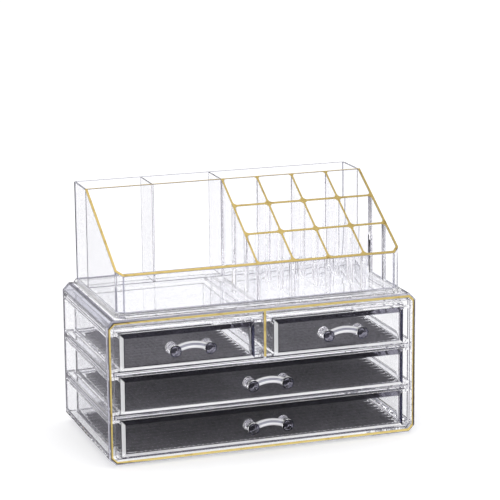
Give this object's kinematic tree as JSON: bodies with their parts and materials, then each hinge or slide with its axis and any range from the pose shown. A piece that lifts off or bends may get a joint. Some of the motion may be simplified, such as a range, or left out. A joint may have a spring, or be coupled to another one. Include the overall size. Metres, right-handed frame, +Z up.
{
  "type": "makeup organizer with drawers",
  "caption": "Clear tabletop makeup organizer: a case with small and full-width sliding drawers, and a lift-off tray with compartments and a sloping lipstick grid, edged in gold.",
  "frame": {"origin": "bottom centre of the whole object's box, at rest and with the handles counted", "axes": "+X across the front to the right, +Y from the handles to the back, +Z up"},
  "size_m": [0.243, 0.1404, 0.1919],
  "materials": {
    "clear_plastic": "clear, polished, injection-moulded",
    "gold_foil": "hot-stamped foil, bright, slightly rubbed",
    "black_mat": "matt open-mesh non-slip mat"
  },
  "bodies": {
    "case": {"case_shell": "clear_plastic", "back_panel": "clear_plastic", "base_plinth": "clear_plastic", "lower_shelf": "clear_plastic", "upper_shelf": "clear_plastic", "header_shelf": "clear_plastic", "centre_divider": "clear_plastic", "front_trim": "gold_foil", "divider_trim": "gold_foil"},
    "drawer_top_left_body": {"drawer_top_left": "clear_plastic", "handle_top_left": "clear_plastic", "mat_top_left": "black_mat"},
    "drawer_top_right_body": {"drawer_top_right": "clear_plastic", "handle_top_right": "clear_plastic", "mat_top_right": "black_mat"},
    "drawer_middle_body": {"drawer_middle": "clear_plastic", "handle_middle": "clear_plastic", "mat_middle": "black_mat"},
    "drawer_bottom_body": {"drawer_bottom": "clear_plastic", "handle_bottom": "clear_plastic", "mat_bottom": "black_mat"},
    "tray": {"tray_base": "clear_plastic", "tray_walls": "clear_plastic", "tray_cross_wall": "clear_plastic", "tray_rear_dividers": "clear_plastic", "lipstick_grid": "clear_plastic", "tray_trim": "gold_foil"}
  },
  "joints": [
    {"name": "drawer_top_left_slide", "type": "slide", "parent": "case", "child": "drawer_top_left_body", "axis": [0, -1, 0], "range_m": [0, 0.1]},
    {"name": "drawer_top_right_slide", "type": "slide", "parent": "case", "child": "drawer_top_right_body", "axis": [0, -1, 0], "range_m": [0, 0.1]},
    {"name": "drawer_middle_slide", "type": "slide", "parent": "case", "child": "drawer_middle_body", "axis": [0, -1, 0], "range_m": [0, 0.1]},
    {"name": "drawer_bottom_slide", "type": "slide", "parent": "case", "child": "drawer_bottom_body", "axis": [0, -1, 0], "range_m": [0, 0.1]},
    {"name": "tray_lift", "type": "slide", "parent": "case", "child": "tray", "axis": [0, 0, 1], "range_m": [0, 0.1]}
  ]
}
